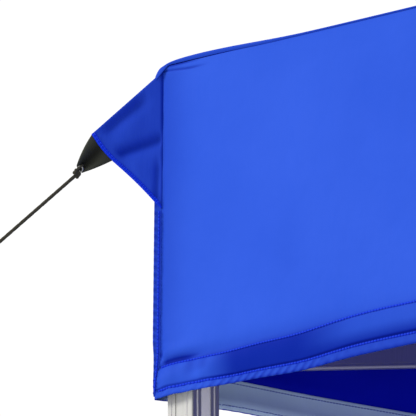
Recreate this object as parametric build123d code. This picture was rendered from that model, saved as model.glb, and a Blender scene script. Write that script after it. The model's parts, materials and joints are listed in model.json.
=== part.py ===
from build123d import *

import os
from math import atan2, cos, degrees, hypot, radians, sin, sqrt, tan

# Pop-up gazebo, 3 m x 3 m, standing open. Millimetres, +Z up, origin on the ground under the peak.
# The frame is a square pantograph: four centre arms and eight half sides, each a crossed pair of bars.
# Everything is built once for the front side and the front left corner and turned about Z by 90 degrees.
os.makedirs("parts", exist_ok=True)

SIDES = ["front", "right", "back", "left"]
CORNERS = ["front_left", "front_right", "back_right", "back_left"]
NEAR_ENDS = ["left", "front", "right", "back"]
FAR_ENDS = ["right", "back", "left", "front"]

# canopy
HEM_HALF = 1500.0
EAVE_HALF = 1499.0
EAVE_Z = 2100.0
VALANCE = 291.0
PEAK_Z = 2740.0
BREAK_HALF = 700.0
LOWER_PITCH = 20.0
SHEET = 0.8
SEAM_GAP = 0.3

# corner ear, drawn in the diagonal plane as (distance out from the corner, height)
EAR_THICK = 1.2
EAR_TIP = (58.8, 2039.5)
EAR_LOW = (42.5, 2016.7)
EAR_FOOT_Z = 1976.0
TAB_END = (68.0, 2011.0)
FIN = 6.5

# guy ropes
ROPE_R = 1.6
ROPE_START = (73.0, 2005.0)
ROPE_FALL = 41.5
ROPE_LENGTH = 170.0
ROPE_KNOT_R = 3.6
ROPE_END_R = 4.6

# pantograph
LEG_AXIS = 1480.0
TOP = 2065.0
SPREAD = 217.0
LEG_ARM = 36.0
HUB_ARM = 36.0
MID_ARM = 26.0
SPAN = LEG_AXIS - LEG_ARM - MID_ARM
BOTTOM = TOP - SPREAD
BAR_LENGTH = hypot(SPAN, SPREAD)
OPEN_ANGLE = degrees(atan2(SPREAD, SPAN))
BAR_DEPTH = 24.0
BAR_THICK = 11.0
BAR_WALL = 1.4
BAR_OFFSET = 6.3
BAR_GROOVE = (1.6, 0.5, 8.2)
PLUG_LENGTH = 34.0
PIN_R = 3.0
HOLE_R = 3.05
HEAD_R = 5.5
HEAD_THICK = 1.8
EAR_R = 11.0
LUG_THICK = 2.8
LUG_GAP = 0.25
PLATE_GAP = 13.5
PLATE = 5.0

# legs
LEG = 32.0
LEG_WALL = 1.8
LEG_FILLET = 1.5
LEG_BOTTOM = 480.0
LEG_TOP = 2030.0
GROOVE = (11.0, 0.7)
FINE_GROOVE = (1.8, 0.6)
FINE_GROOVE_AT = 9.8
INNER = 27.4
INNER_WALL = 1.4
INNER_TOP = 1000.0
INNER_GROOVE = (9.0, 0.6)
HEAD = 34.0
HEAD_TOP = 2097.0
LEG_PIN_Z = 508.0
HOLE_PITCH = 100.0
HEIGHT_HOLES = 5
COLLAR = (478.0, 540.0)
COLLAR_HALF = 19.5
SLEEVE_GAP = 0.25

# sliders and lock pins
SLIDER_OUT = 18.4
SLIDER_IN = 20.5
SLIDER_BELOW = 24.0
SLIDER_ABOVE = 12.0
SLIDER_PIN_SIDE = -10.5
BOSS_END = 30.8
PIN_SHAFT_R = 4.0
PIN_BORE_R = 4.05
PIN_TIP_R = 3.2
TIP_HOLE_R = 3.5
SLIDER_TIP_AT = LEG / 2 + 0.15
LEG_TIP_AT = 13.35
PIN_STEP_AT = 20.0
SLIDER_KNOB_R = 6.0
LEG_KNOB_R = 9.0
KNOB = (34.0, 44.0)

# feet
FOOT = 90.0
FOOT_PLATE = 4.0
SOCKET_HALF = 17.5
SOCKET_TOP = 44.0
PEG_HOLE_R = 5.5
PEG_HOLE_AT = 31.0

# hubs and mast
HUB_R = 50.0
HUB_BOSS_R = 19.0
MAST_R = 11.0
MAST_WALL = 1.5
MAST_BORE_R = 11.1
CUP_R = 12.0
MAST_FOOT = 11.0
CROWN_BASE = 2690.0


def turned(shape, k):
    """The shape turned to side or corner k, counted anticlockwise from the front left."""
    return Rot(0, 0, 90 * k) * shape


def rod(radius, start, end, at=(0, 0, 0), axis="X"):
    """A round rod along an axis through at, from start to end along it."""
    spin = {"X": Rot(0, 90, 0), "Y": Rot(-90, 0, 0), "Z": Rot(0, 0, 0)}[axis]
    flat = Cylinder(radius, end - start, align=(Align.CENTER, Align.CENTER, Align.MIN))
    return Pos(*at) * spin * Pos(0, 0, start) * flat


def block(low, high):
    """A box from its lowest corner to its highest."""
    size = [b - a for a, b in zip(low, high)]
    return Pos(*low) * Box(*size, align=(Align.MIN, Align.MIN, Align.MIN))


def tube_section(side, wall, fillet, grooves):
    """A square tube's section with lengthwise grooves in its four faces."""
    section = RectangleRounded(side, side, fillet)
    for width, depth, at in grooves:
        for k in range(4):
            for sign in sorted({1, -1 if at else 1}):
                slot = Pos(side / 2, sign * at) * Rectangle(2 * depth, width)
                section -= Rot(0, 0, 90 * k) * slot
    hollow = side - 2 * wall
    return section - RectangleRounded(hollow, hollow, 1.0)


# pantograph bars and their joints


def bar_section():
    """A hollow bar's section, in the plane across the bar: thickness along X, depth along Y."""
    width, depth, at = BAR_GROOVE
    section = RectangleRounded(BAR_THICK, BAR_DEPTH, 2.2)
    for x in (-1, 1):
        for y in (-1, 1):
            section -= Pos(x * BAR_THICK / 2, y * at) * Rectangle(2 * depth, width)
    hollow = RectangleRounded(BAR_THICK - 2 * BAR_WALL, BAR_DEPTH - 2 * BAR_WALL, 1.0)
    return section - hollow


def end_plug(x, sign):
    """The plastic plug in a bar's end, rounded about its pivot at x, with the pin's hole."""
    half = BAR_DEPTH / 2 - BAR_WALL - 0.1
    thick = BAR_THICK - 2 * BAR_WALL - 0.2
    reach = sign * (PLUG_LENGTH - half)
    low, high = sorted((0, reach))
    body = rod(half, -thick / 2, thick / 2, axis="Y") + block((low, -thick / 2, -half), (high, thick / 2, half))
    body -= rod(HOLE_R + 0.1, -thick, thick, axis="Y")
    return Pos(x, 0, 0) * body


def plain_bar():
    """A bar along X from its pivot at the origin to its pivot at BAR_LENGTH, with its two end plugs."""
    reach = BAR_DEPTH / 2
    section = Plane.YZ.offset(-reach) * bar_section()
    tube = extrude(section, BAR_LENGTH + 2 * reach)
    outline = Pos(BAR_LENGTH / 2, 0, 0) * Rot(90, 0, 0) * SlotCenterToCenter(BAR_LENGTH, BAR_DEPTH)
    tube &= extrude(outline, BAR_THICK, both=True)
    for x in (0, BAR_LENGTH / 2, BAR_LENGTH):
        tube -= rod(HOLE_R, -BAR_THICK, BAR_THICK, (x, 0, 0), "Y")
    return [tube, end_plug(0, 1), end_plug(BAR_LENGTH, -1)]


def rivet(y_low, y_high):
    """A rivet along Y through the origin, with its heads just clear of faces at y_low and y_high."""
    low, high = y_low - 0.1, y_high + 0.1
    shaft = rod(PIN_R, low, high, axis="Y")
    heads = rod(HEAD_R, low - HEAD_THICK, low, axis="Y") + rod(HEAD_R, high, high + HEAD_THICK, axis="Y")
    return shaft + heads


def middle_rivet():
    """The rivet through two crossed bars and the washer between them, on the pair's own middle plane."""
    face = BAR_OFFSET + BAR_THICK / 2
    gap = BAR_OFFSET - BAR_THICK / 2 - 0.1
    washer = rod(8.0, -gap, gap, axis="Y") - rod(HOLE_R + 0.1, -gap, gap, axis="Y")
    return [rivet(-face, face), washer]


def bar_place(start, heading, offset, rise):
    """Where a bar starts: its pivot, its heading in degrees, its sideways offset, and +1 if it rises."""
    return Pos(*start) * Rot(0, 0, heading) * Pos(0, offset, 0) * Rot(0, -rise * OPEN_ANGLE, 0)


def crossed_pair(x, y, heading, falling_offset):
    """A falling bar from the top level and a rising bar from the bottom level, riveted at mid length."""
    falling = bar_place((x, y, TOP), heading, falling_offset, -1)
    rising = bar_place((x, y, BOTTOM), heading, -falling_offset, 1)
    middle = Pos(x, y, TOP - SPREAD / 2) * Rot(0, 0, heading) * Pos(SPAN / 2, 0, 0)
    falling_solids = [falling * s for s in plain_bar()] + [middle * s for s in middle_rivet()]
    return falling_solids, [rising * s for s in plain_bar()]


def lugs(offset, hang):
    """Two lugs for a bar pivoting at the origin, to a plate above if hang is 1 or below if it is -1."""
    solid = None
    for side in (-1, 1):
        middle = offset + side * (BAR_THICK / 2 + LUG_GAP + LUG_THICK / 2)
        low, high = middle - LUG_THICK / 2, middle + LUG_THICK / 2
        z_low, z_high = sorted((0, hang * (PLATE_GAP + PLATE / 2)))
        lug = rod(EAR_R, low, high, axis="Y") + block((-EAR_R, low, z_low), (EAR_R, high, z_high))
        lug -= rod(HOLE_R, low - 1, high + 1, axis="Y")
        solid = lug if solid is None else solid + lug
    return solid


def lug_rivet(offset):
    """The rivet through a pair of lugs and their bar."""
    face = BAR_THICK / 2 + LUG_GAP + LUG_THICK
    return Pos(0, offset, 0) * rivet(-face, face)


def plate_levels(hang):
    """The heights of a connector's plate, from its pivots."""
    return sorted((hang * PLATE_GAP, hang * (PLATE_GAP + PLATE)))


def lug_reach():
    """How far sideways a pair of lugs reaches from its arm's middle plane."""
    return BAR_OFFSET + BAR_THICK / 2 + LUG_GAP + LUG_THICK


def side_connector(z, hang, side_offset, centre_offset):
    """The three-way connector at the middle of the front side: two side arms and one centre arm."""
    low, high = plate_levels(hang)
    reach = MID_ARM + EAR_R
    wide = lug_reach()
    y_low, y_high = sorted((side_offset / BAR_OFFSET * wide, -side_offset / BAR_OFFSET * 2.25))
    body = block((-reach, y_low, low), (reach, y_high, high))
    body += block((-wide, y_low, low), (wide, reach, high))
    places = [(Rot(0, 0, 0), side_offset), (Rot(0, 0, 180), -side_offset), (Rot(0, 0, 90), -centre_offset)]
    rivets = []
    for turn, offset in places:
        arm = turn * Pos(MID_ARM, 0, 0)
        body += arm * lugs(offset, hang)
        rivets.append(arm * lug_rivet(offset))
    at = Pos(0, -LEG_AXIS, z)
    return [at * s for s in [body] + rivets]


def hub(z, hang, offset):
    """A centre hub: a round plate, a boss for the mast and a pair of lugs for each arm."""
    low, high = plate_levels(hang)
    body = rod(HUB_R, low, high, axis="Z")
    boss_low, boss_high = sorted((-hang * 12.0, hang * (PLATE_GAP + PLATE)))
    body += rod(HUB_BOSS_R, boss_low, boss_high, axis="Z")
    bore = MAST_BORE_R if hang > 0 else CUP_R
    floor = boss_low - 1 if hang > 0 else -MAST_FOOT - 0.3
    body -= rod(bore, floor, boss_high + 1, axis="Z")
    rivets = []
    for k in range(4):
        arm = Rot(0, 0, 90 * k - 90) * Pos(HUB_ARM, 0, 0)
        body += arm * lugs(offset, hang)
        rivets.append(arm * lug_rivet(offset))
    return [Pos(0, 0, z) * s for s in [body] + rivets]


def mast():
    """The centre mast: a tube and the crown that holds up the peak."""
    bottom = BOTTOM - MAST_FOOT
    tube = rod(MAST_R, bottom, CROWN_BASE + 20, axis="Z") - rod(MAST_R - MAST_WALL, bottom - 1, CROWN_BASE + 21, axis="Z")
    profile = Polyline((0, 2734), (18, 2729), (38, 2719), (46, 2711), (46, 2705), (20, 2698), (17, CROWN_BASE),
                       (MAST_R + 0.1, CROWN_BASE), (MAST_R + 0.1, CROWN_BASE + 20.2), (0, CROWN_BASE + 20.2), close=True)
    crown = revolve(Plane.XZ * make_face(profile), Axis.Z)
    return [tube, crown]


# legs, in the front left corner's frame: its leg's axis at the origin, and its arms along +X and +Y


def corner_place(z=0.0):
    return Pos(-LEG_AXIS, -LEG_AXIS, z)


def corner_arms():
    """The turns and the sideways signs of a corner's two arms: the front side's, then the left side's."""
    return [(Rot(0, 0, 0), 1), (Rot(0, 0, 90), -1)]


def corner_lugs(offset, hang):
    """Lugs and rivets for both arms; offset is positive towards the gazebo's inside."""
    body = None
    rivets = []
    low, high = plate_levels(hang)
    for turn, sign in corner_arms():
        arm = turn * Pos(LEG_ARM, 0, 0)
        y_low, y_high = sorted((sign * offset / BAR_OFFSET * lug_reach(), -sign * offset / BAR_OFFSET * 2.25))
        plate = turn * block((LEG / 2 + 0.6, y_low, low), (LEG_ARM + EAR_R, y_high, high))
        arm_body = plate + arm * lugs(sign * offset, hang)
        body = arm_body if body is None else body + arm_body
        rivets.append(arm * lug_rivet(sign * offset))
    return body, rivets


def outer_leg():
    """The outer leg: a grooved tube, the head with the upper pivots, and the bottom collar."""
    fine = (*FINE_GROOVE, FINE_GROOVE_AT)
    section = tube_section(LEG, LEG_WALL, LEG_FILLET, [(*GROOVE, 0), fine])
    tube = Pos(0, 0, LEG_BOTTOM) * extrude(section, LEG_TOP - LEG_BOTTOM)
    tube -= rod(TIP_HOLE_R, LEG / 4, LEG, (0, SLIDER_PIN_SIDE, BOTTOM), "X")
    tube -= rod(TIP_HOLE_R, 0, LEG, (0, 0, LEG_PIN_Z), "X")
    head = Pos(0, 0, LEG_TOP + 0.2) * extrude(RectangleRounded(HEAD, HEAD, 4), HEAD_TOP - LEG_TOP - 0.2)
    plug_side = LEG - 2 * LEG_WALL - 0.4
    head += Pos(0, 0, LEG_TOP - 25) * extrude(RectangleRounded(plug_side, plug_side, 2), 26)
    arms, rivets = corner_lugs(-BAR_OFFSET, 1)
    head += Pos(0, 0, TOP) * arms
    hole = 2 * (LEG / 2 + SLEEVE_GAP)
    ring = RectangleRounded(2 * COLLAR_HALF, 2 * COLLAR_HALF, 4) - Rectangle(hole, hole)
    collar = Pos(0, 0, COLLAR[0]) * extrude(ring, COLLAR[1] - COLLAR[0])
    collar += rod(LEG_KNOB_R - 0.5, COLLAR_HALF - 1, BOSS_END, (0, 0, LEG_PIN_Z), "X")
    collar -= rod(PIN_BORE_R, 0, LEG, (0, 0, LEG_PIN_Z), "X")
    return [tube, head, collar] + [Pos(0, 0, TOP) * r for r in rivets]


def inner_leg():
    """The inner leg: a grooved tube with its height holes, and the foot with its socket and peg holes."""
    section = tube_section(INNER, INNER_WALL, 2.0, [(*INNER_GROOVE, 0)])
    tube = Pos(0, 0, FOOT_PLATE + 0.2) * extrude(section, INNER_TOP - FOOT_PLATE - 0.2)
    for n in range(HEIGHT_HOLES):
        tube -= rod(TIP_HOLE_R, 0, INNER, (0, 0, LEG_PIN_Z - n * HOLE_PITCH), "X")
    foot = extrude(RectangleRounded(FOOT, FOOT, 8), FOOT_PLATE)
    hole = INNER + 0.3
    socket = RectangleRounded(2 * SOCKET_HALF, 2 * SOCKET_HALF, 3) - Rectangle(hole, hole)
    foot += Pos(0, 0, FOOT_PLATE) * extrude(socket, SOCKET_TOP - FOOT_PLATE)
    for sign in (-1, 1):
        peg_hole = (sign * PEG_HOLE_AT, -sign * PEG_HOLE_AT, 0)
        foot -= rod(PEG_HOLE_R, -1, FOOT_PLATE + 1, peg_hole, "Z")
    return [tube, foot]


def slider():
    """The slider on the outer leg: a sleeve, the lower pivots' lugs and the lock pin's boss."""
    z_low, z_high = -SLIDER_BELOW, SLIDER_ABOVE
    body = block((-SLIDER_OUT, -SLIDER_OUT, z_low), (SLIDER_IN, SLIDER_IN, z_high))
    body = fillet(body.edges().filter_by(Axis.Z), 3)
    arms, rivets = corner_lugs(BAR_OFFSET, -1)
    body += arms
    body += rod(SLIDER_KNOB_R - 0.5, SLIDER_IN - 1, BOSS_END, (0, SLIDER_PIN_SIDE, 0), "X")
    half = LEG / 2 + SLEEVE_GAP
    body -= block((-half, -half, z_low - 1), (half, half, z_high + 1))
    body -= rod(PIN_BORE_R, 0, LEG, (0, SLIDER_PIN_SIDE, 0), "X")
    return [body] + rivets


def lock_pin(tip_at, place, knob_r):
    """A pull pin along X: tip, shaft and knob, standing just out of its hole."""
    pin = rod(PIN_TIP_R, tip_at, PIN_STEP_AT, place, "X")
    pin += rod(PIN_SHAFT_R, PIN_STEP_AT, KNOB[0], place, "X")
    knob = rod(knob_r, *KNOB, place, "X")
    pin += chamfer(knob.edges().filter_by(GeomType.CIRCLE), 1.5)
    return [pin]


# canopy


def roof_height(distance):
    """The roof's height above a line at this distance from the middle: shallow outside, steep inside."""
    break_z = EAVE_Z + (EAVE_HALF - BREAK_HALF) * tan(radians(LOWER_PITCH))
    if distance >= BREAK_HALF:
        return EAVE_Z + (EAVE_HALF - distance) * tan(radians(LOWER_PITCH))
    return break_z + (PEAK_Z - break_z) * (1 - distance / BREAK_HALF)


def roof_panel(outer, inner):
    """A flat panel of the front roof face between two distances from the middle."""
    points = []
    for distance, sign in ((outer, -1), (outer, 1), (inner, 1), (inner, -1)):
        half = max(distance - SEAM_GAP, 0.5)
        points.append((sign * half, -distance, roof_height(distance)))
    face = Face(Wire.make_polygon(points, close=True))
    return extrude(face, amount=SHEET, dir=(0, 0, -1))


def valance_panel():
    """The front valance, mitred at both ends and leaning out slightly from eave to hem."""
    levels = []
    for z, half in ((EAVE_Z - VALANCE, HEM_HALF), (EAVE_Z - SHEET - SEAM_GAP, EAVE_HALF)):
        out, back = half - SEAM_GAP, half - SHEET
        corners = [(-out, -half), (out, -half), (back - SEAM_GAP, -back), (-back + SEAM_GAP, -back)]
        levels.append(Pos(0, 0, z) * make_face(Polyline(*corners, close=True)))
    return loft(levels, ruled=True)


def diagonal_sheet(points, thick):
    """A flat sheet in the front left diagonal plane, its points given as distance out and height."""
    diagonal = Plane(origin=(-HEM_HALF, -HEM_HALF, 0), x_dir=(-1, -1, 0), z_dir=(-1, 1, 0))
    flip = diagonal.y_dir.Z
    outline = Polyline(*[(s, flip * z) for s, z in points], close=True)
    return extrude(diagonal * make_face(outline), thick / 2, both=True)


def corner_ear():
    """The triangular ear sewn in the corner seam, with the tab that the guy rope is tied to."""
    return diagonal_sheet(
        [(0.5, EAVE_Z - 4), (5.0, EAVE_Z - 12), EAR_TIP, TAB_END, EAR_LOW, (0.5, EAR_FOOT_Z)], EAR_THICK
    )


def corner_fin():
    """The corner seam's allowance below the ear."""
    low, high = EAVE_Z - VALANCE + 1, EAR_FOOT_Z - SEAM_GAP
    return diagonal_sheet([(0.5, low), (FIN, low), (FIN, high), (0.5, high)], EAR_THICK)


def canopy():
    """The whole canopy: eight roof panels, four valances, four ears with tabs and four seam fins."""
    one_quarter = [
        roof_panel(EAVE_HALF, BREAK_HALF + SEAM_GAP),
        roof_panel(BREAK_HALF - SEAM_GAP, 0.0),
        valance_panel(),
        corner_ear(),
        corner_fin(),
    ]
    return [turned(s, k) for k in range(4) for s in one_quarter]


def guy_rope():
    """The front left guy rope, pulled straight, from its knot at the tab to the knot at its end."""
    out = cos(radians(ROPE_FALL))
    start = Vector(-HEM_HALF - ROPE_START[0] / sqrt(2), -HEM_HALF - ROPE_START[0] / sqrt(2), ROPE_START[1])
    along = Vector(-out / sqrt(2), -out / sqrt(2), -sin(radians(ROPE_FALL)))
    line = Plane(origin=start, z_dir=along)
    rope = line * rod(ROPE_R, 0, ROPE_LENGTH, axis="Z")
    rope += line * Sphere(ROPE_KNOT_R)
    rope += line * Pos(0, 0, ROPE_LENGTH) * Sphere(ROPE_END_R)
    return [rope]


# the whole gazebo


def save(name, solids):
    solids = [piece for s in solids for piece in s.solids()]
    export_step(Compound(children=solids) if len(solids) > 1 else solids[0], f"parts/{name}.step")


def save_four(names, solids):
    """The same piece at each side or corner."""
    for k, name in enumerate(names):
        save(name, [turned(s, k) for s in solids])


def side_pieces():
    """The front side's bars and connectors."""
    centre = crossed_pair(0, -HUB_ARM, -90, BAR_OFFSET)
    near = crossed_pair(-MID_ARM, -LEG_AXIS, 180, -BAR_OFFSET)
    far = crossed_pair(MID_ARM, -LEG_AXIS, 0, BAR_OFFSET)
    for kind, index in (("falling", 0), ("rising", 1)):
        save_four([f"{s}_centre_{kind}_bar" for s in SIDES], centre[index])
        save_four([f"{s}_{e}_{kind}_bar" for s, e in zip(SIDES, NEAR_ENDS)], near[index])
        save_four([f"{s}_{e}_{kind}_bar" for s, e in zip(SIDES, FAR_ENDS)], far[index])
    top = side_connector(TOP, 1, BAR_OFFSET, -BAR_OFFSET)
    bottom = side_connector(BOTTOM, -1, -BAR_OFFSET, BAR_OFFSET)
    save_four([f"{s}_top_connector" for s in SIDES], top)
    save_four([f"{s}_bottom_connector" for s in SIDES], bottom)


def corner_pieces():
    """The front left corner's leg, slider, lock pins and guy rope."""
    pieces = {
        "outer_leg": [corner_place() * s for s in outer_leg()],
        "inner_leg": [corner_place() * s for s in inner_leg()],
        "slider": [corner_place(BOTTOM) * s for s in slider()],
        "slider_pin": [corner_place(BOTTOM) * s for s in lock_pin(SLIDER_TIP_AT, (0, SLIDER_PIN_SIDE, 0), SLIDER_KNOB_R)],
        "leg_pin": [corner_place() * s for s in lock_pin(LEG_TIP_AT, (0, 0, LEG_PIN_Z), LEG_KNOB_R)],
        "guy_rope": guy_rope(),
    }
    for name, solids in pieces.items():
        save_four([f"{c}_{name}" for c in CORNERS], solids)


side_pieces()
corner_pieces()
save("top_hub", hub(TOP, 1, BAR_OFFSET))
save("bottom_hub", hub(BOTTOM, -1, -BAR_OFFSET))
save("mast", mast())
save("canopy", canopy())
print(f"bar {BAR_LENGTH:.2f} mm between end pivots, opened to {OPEN_ANGLE:.3f} degrees")
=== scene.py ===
import json
import math

import bpy
import numpy as np
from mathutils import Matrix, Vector

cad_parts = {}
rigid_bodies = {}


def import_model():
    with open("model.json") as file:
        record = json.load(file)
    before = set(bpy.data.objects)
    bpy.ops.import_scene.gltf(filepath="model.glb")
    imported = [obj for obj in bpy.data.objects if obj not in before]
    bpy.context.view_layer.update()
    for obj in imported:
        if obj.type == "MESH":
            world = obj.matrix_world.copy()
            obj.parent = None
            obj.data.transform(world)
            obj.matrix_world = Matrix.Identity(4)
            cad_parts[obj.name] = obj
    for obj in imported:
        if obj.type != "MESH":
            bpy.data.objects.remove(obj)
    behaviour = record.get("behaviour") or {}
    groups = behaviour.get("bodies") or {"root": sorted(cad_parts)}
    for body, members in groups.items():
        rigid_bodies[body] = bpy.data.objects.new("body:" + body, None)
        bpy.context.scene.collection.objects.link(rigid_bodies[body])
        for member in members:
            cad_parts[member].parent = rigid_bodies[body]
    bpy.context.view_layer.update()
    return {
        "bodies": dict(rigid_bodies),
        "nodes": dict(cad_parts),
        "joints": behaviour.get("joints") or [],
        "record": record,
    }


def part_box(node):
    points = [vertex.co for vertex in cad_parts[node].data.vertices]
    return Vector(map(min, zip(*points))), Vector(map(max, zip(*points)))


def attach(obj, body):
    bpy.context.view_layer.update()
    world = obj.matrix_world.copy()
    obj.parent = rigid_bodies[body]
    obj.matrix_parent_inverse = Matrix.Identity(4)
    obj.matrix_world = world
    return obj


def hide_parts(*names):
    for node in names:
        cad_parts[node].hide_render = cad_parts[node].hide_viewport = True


# A pop-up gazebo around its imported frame. Metres, +Z up, the canopy's sides along X and Y, -Y the front.
# Cloth pieces are worked out for the front side or the front left corner and turned about Z.
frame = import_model()

SIDES = ["front", "right", "back", "left"]
CORNERS = ["front_left", "front_right", "back_right", "back_left"]

# the frame's own places
LEG_AXIS = -[m for m in frame["record"]["mounts"] if m["name"] == "front_left_foot"][0]["pos_m"][0]
CORNER = 1.5
ROOT_HALF = math.sqrt(0.5)
CROWN_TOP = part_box("mast")[1].z

# canopy cloth
EAVE_HALF = 1.4985
EAVE_Z = 2.100
HEM_Z = 1.809
VALANCE = EAVE_Z - HEM_Z
SIDE_LENGTH = 2 * EAVE_HALF
CLOTH = 0.0005
PEAK_Z = CROWN_TOP + 0.006
PEAK_SLOPE = 0.529
EAVE_SLOPE = 2 * (PEAK_Z - EAVE_Z) / EAVE_HALF - PEAK_SLOPE
UPPER_STITCH = 0.0275
LOWER_STITCH = 0.0068
FACING_TOP = 0.0278
WIDER_HEM = (0.0062, 0.0020, 0.0035, 0.0)
HEM_SAG = (0.0032, 0.0014, 0.0022, 0.0002)

# corner ear, tab and fin, in the diagonal plane: distance out from the corner, and height
EAR_TOP = (-0.0028, 2.0965)
EAR_TIP = (0.0588, 2.0414)
EAR_KNEE = (0.0404, 2.0174)
EAR_FOOT = (-0.0014, 1.9745)
EAR_THICK = 0.0012
TAB_END = (0.0700, 2.0094)
EYELET_MIDDLE = (TAB_END[0] - 0.0006, TAB_END[1] + 0.0006)
EYELET_RADIUS = 0.0026
EYELET_WIRE = 0.0008

# guy rope, in the same plane: its route, its two knots, its loop through the eyelet and its short tail
ROPE_START = (0.0730, 2.0050)
ROPE_FALL = math.radians(41.5)
ROPE_LENGTH = 0.170
ROPE_MIDDLE = 0.020
ROPE_WIDTH = 0.0032
NEAR_KNOT_AT = (TAB_END[0] + 0.0014, TAB_END[1] - 0.0006)
NEAR_KNOT = 0.0025
END_KNOT = 0.0034
LOOP_MIDDLE = (TAB_END[0] + 0.0004, TAB_END[1] + 0.0010)
LOOP_REACH = 0.0042
LOOP_WIDTH = 0.0020
ROPE_TAIL = ((0.0720, 2.0072), (0.0722, 2.0046), (0.0712, 2.0022))

# sewing thread: a stitch's share of its pitch, then pitches and radii
STITCH_SHARE = 0.97
HEM_PITCH = 0.0036
UPPER_THREAD = 0.00080
LOWER_THREAD = 0.00095
INNER_THREAD = 0.0005
HIP_PITCH = 0.005
HIP_THREAD = 0.0006

# the folded canopy: the pleats' pitch, and how far they stand out of the sides and up from the roof
SIDE_PLEAT = 0.25
SIDE_PLEAT_SHARE = 0.085
ROOF_PLEAT = 0.5
ROOF_PLEAT_SHARE = 0.3


# small maths


def step(low, high, value):
    """0 below low, 1 above high, smooth between."""
    t = np.clip((np.asarray(value, float) - low) / (high - low), 0, 1)
    return t * t * (3 - 2 * t)


def fall(low, high, value):
    """1 below low, 0 above high, smooth between."""
    return 1 - step(low, high, value)


def bell(value, middle, width):
    """A smooth hump, 1 at its middle."""
    return np.exp(-(((np.asarray(value, float) - middle) / width) ** 2))


def wave(value, period, phase=0.0):
    """A sine of this period, -1 to 1."""
    return np.sin(2 * math.pi * np.asarray(value, float) / period + phase)


def spaced(*stretches):
    """Values from 0, in stretches of (end, spacing)."""
    values = [0.0]
    for end, pitch in stretches:
        start = values[-1]
        count = max(1, round((end - start) / pitch))
        values += list(start + (end - start) * np.arange(1, count + 1) / count)
    return np.array(values)


def turned(points, k):
    """Points at side or corner k, from those of the front side or the front left corner."""
    c, s = ((1, 0), (0, 1), (-1, 0), (0, -1))[k]
    x, y, z = points[..., 0], points[..., 1], points[..., 2]
    return np.stack([c * x - s * y, s * x + c * y, z], -1)


def lengths(line):
    """The length of a line of points up to each of them."""
    return np.concatenate([[0], np.cumsum(np.linalg.norm(np.diff(line, axis=0), axis=1))])


def lerp(a, b, t):
    """A value between a and b."""
    return a + (b - a) * t


def diagonal(s, z, lift=0.0):
    """Points of the front left diagonal plane: s out from the corner, z up, lift towards the front."""
    s, z, lift = np.broadcast_arrays(np.asarray(s, float), np.asarray(z, float), np.asarray(lift, float))
    x, y = -CORNER - s * ROOT_HALF + lift * ROOT_HALF, -CORNER - s * ROOT_HALF - lift * ROOT_HALF
    return np.stack([x, y, z], -1)


# meshes


def grid_faces(rows, columns, closed=False):
    """Quads of a grid of points, closed round its columns or not."""
    index = np.arange(rows * columns).reshape(rows, columns)
    if closed:
        index = np.concatenate([index, index[:, :1]], axis=1)
    return np.stack([index[:-1, :-1], index[:-1, 1:], index[1:, 1:], index[1:, :-1]], -1).reshape(-1, 4)


def piece(name, points, faces, materials, cloth=None, layers=None, thick=None):
    """A mesh object. cloth is each point's place on the flat cloth; its darkness value says how dark the
    cloth is drawn, 1 as dark as double cloth, and it carries painted shade.
    """
    points = np.asarray(points, float).reshape(-1, 3)
    mesh = bpy.data.meshes.new(name)
    mesh.from_pydata(points.tolist(), [], [list(map(int, f)) for f in faces])
    mesh.update()
    mesh.shade_smooth()
    for material in materials:
        mesh.materials.append(material)
    flat = points if cloth is None else cloth
    mesh.attributes.new("cloth", "FLOAT_VECTOR", "POINT").data.foreach_set("vector", np.float32(flat).ravel())
    dark = np.zeros(len(points)) if layers is None else layers
    mesh.attributes.new("layers", "FLOAT", "POINT").data.foreach_set("value", np.float32(dark).ravel())
    made = bpy.data.objects.new(name, mesh)
    bpy.context.scene.collection.objects.link(made)
    if thick:
        shell = made.modifiers.new("thickness", "SOLIDIFY")
        shell.thickness = thick
        shell.offset = -1
        shell.material_offset = len(materials) - 1
        shell.material_offset_rim = 0
    return made


def tube(name, line, radius, material, sides=12, braid=0.0, closed=False):
    """A tube along a line of points, with rounded ends; braid is how deep its plaited surface is."""
    line = np.asarray(line, float)
    if closed:
        ahead = np.roll(line, -1, axis=0) - np.roll(line, 1, axis=0)
    else:
        ahead = np.gradient(line, axis=0)
    ahead /= np.linalg.norm(ahead, axis=1)[:, None]
    side = np.cross(ahead, (0.31, 0.17, 0.93))
    side /= np.linalg.norm(side, axis=1)[:, None]
    up = np.cross(ahead, side)
    gone = lengths(line)
    angle = 2 * math.pi * np.arange(sides) / sides
    turn = 2 * math.pi * gone[:, None] / (10 * radius)
    plait = np.maximum(np.abs(np.sin(2 * angle[None] + turn)), np.abs(np.sin(2 * angle[None] - turn)))
    size = radius * (1 - braid + braid * plait)
    if not closed:
        size = size * np.where((gone < 1e-9) | (gone > gone[-1] - 1e-9), 0.55, 1.0)[:, None]
    ring = np.cos(angle)[None, :, None] * side[:, None] + np.sin(angle)[None, :, None] * up[:, None]
    points = line[:, None] + size[..., None] * ring
    rows = len(line)
    faces = [list(f) for f in grid_faces(rows, sides, closed=True)]
    if closed:
        last = (rows - 1) * sides
        faces += [[last + j, last + (j + 1) % sides, (j + 1) % sides, j] for j in range(sides)]
    else:
        faces += [list(range(sides))[::-1], [(rows - 1) * sides + j for j in range(sides)]]
    cloth = np.stack(np.broadcast_arrays(gone[:, None], angle[None] * radius, 0.0), -1)
    return piece(name, points, faces, [material], cloth=cloth)


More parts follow.
